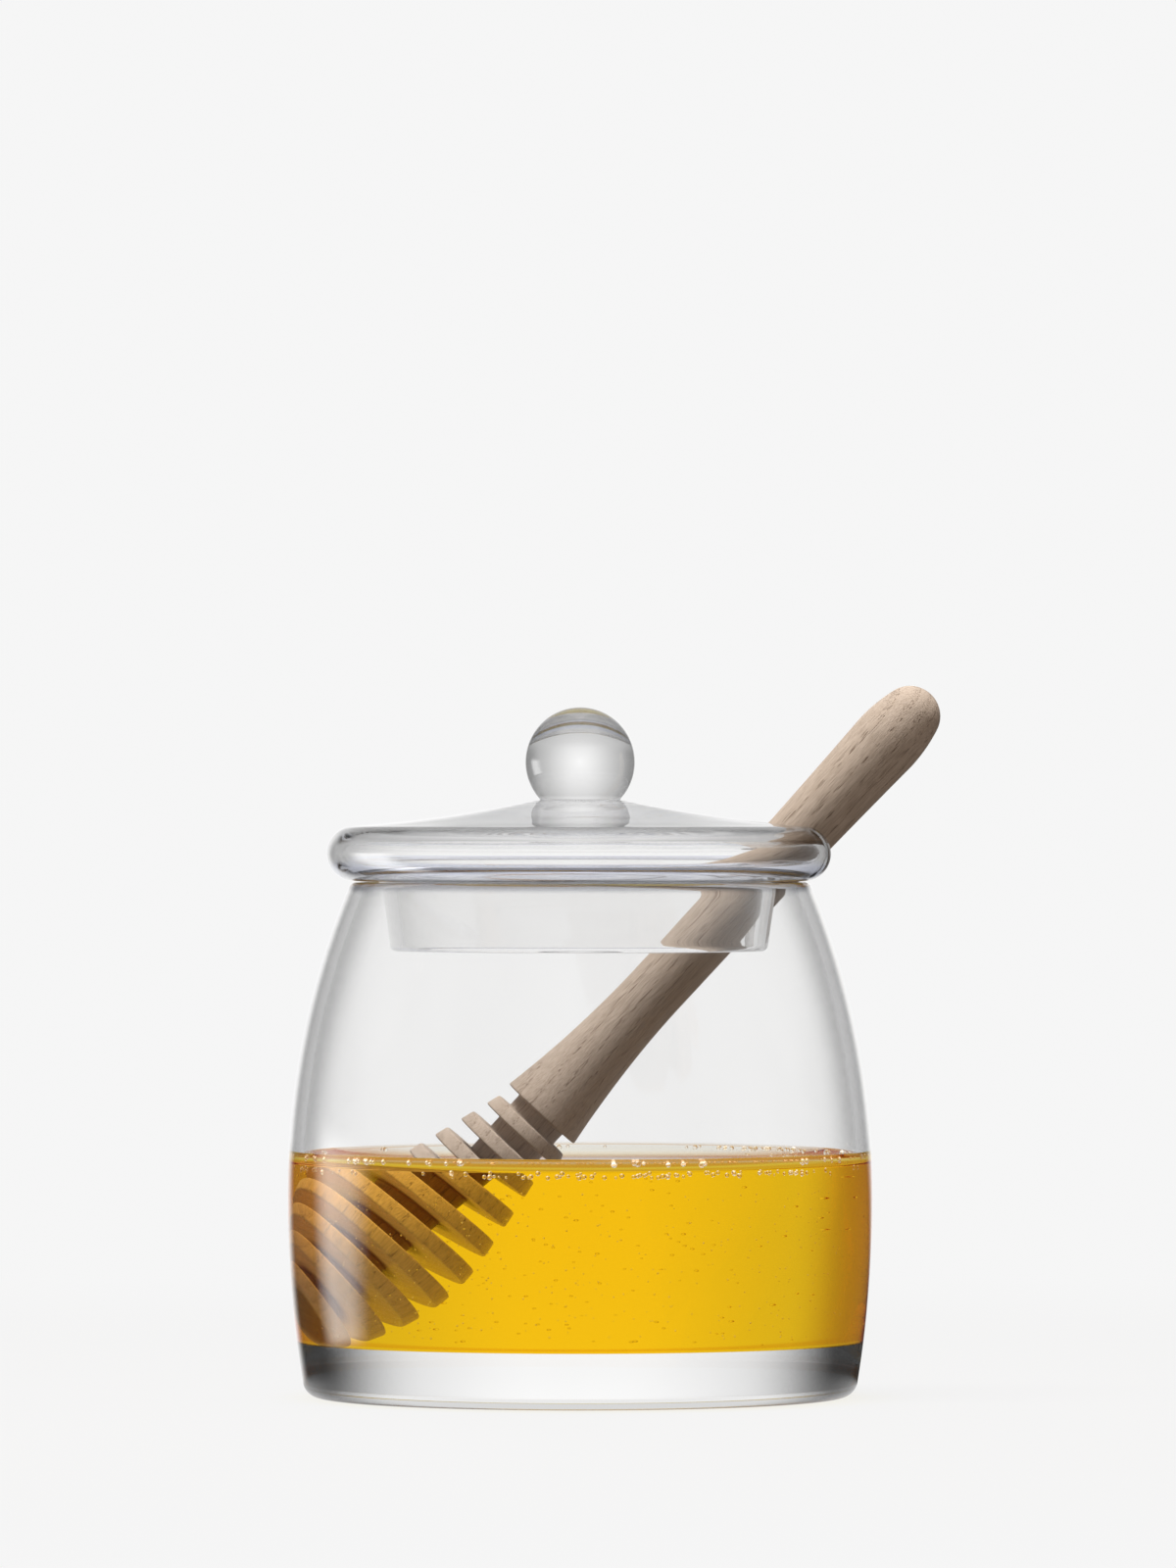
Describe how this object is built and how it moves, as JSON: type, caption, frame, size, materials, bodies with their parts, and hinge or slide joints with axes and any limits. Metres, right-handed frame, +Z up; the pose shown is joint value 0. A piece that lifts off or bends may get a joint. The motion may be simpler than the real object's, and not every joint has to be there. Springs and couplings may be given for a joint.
{
  "type": "honey pot",
  "caption": "Clear glass honey pot with a bellied wall and thick base, a hollow glass lid with ball knob and notch, and a leaning wooden dipper in golden honey.",
  "frame": {"origin": "middle of the pot's flat foot, on the table", "axes": "+Z up along the pot's axis, +X towards the side where the dipper leans out of the lid"},
  "size_m": [0.1118, 0.1002, 0.1218],
  "materials": {
    "pot_glass": "clear fire-polished glass",
    "lid_glass": "clear fire-polished glass",
    "honey": "clear golden liquid with small bubbles",
    "oak": "bare turned oak with open pores"
  },
  "bodies": {
    "pot": {"pot": "pot_glass", "honey": "honey"},
    "lid": {"lid": "lid_glass", "lid_knob": "lid_glass"},
    "dipper": {"dipper": "oak"}
  },
  "joints": [
    {"name": "lid_lift", "type": "slide", "parent": "pot", "child": "lid", "axis": [0, 0, 1], "range_m": [0, 0.07]},
    {"name": "dipper_draw", "type": "slide", "parent": "pot", "child": "dipper", "axis": [0.6794, 0, 0.7338], "range_m": [0, 0.038], "deforming": ["honey"]}
  ]
}
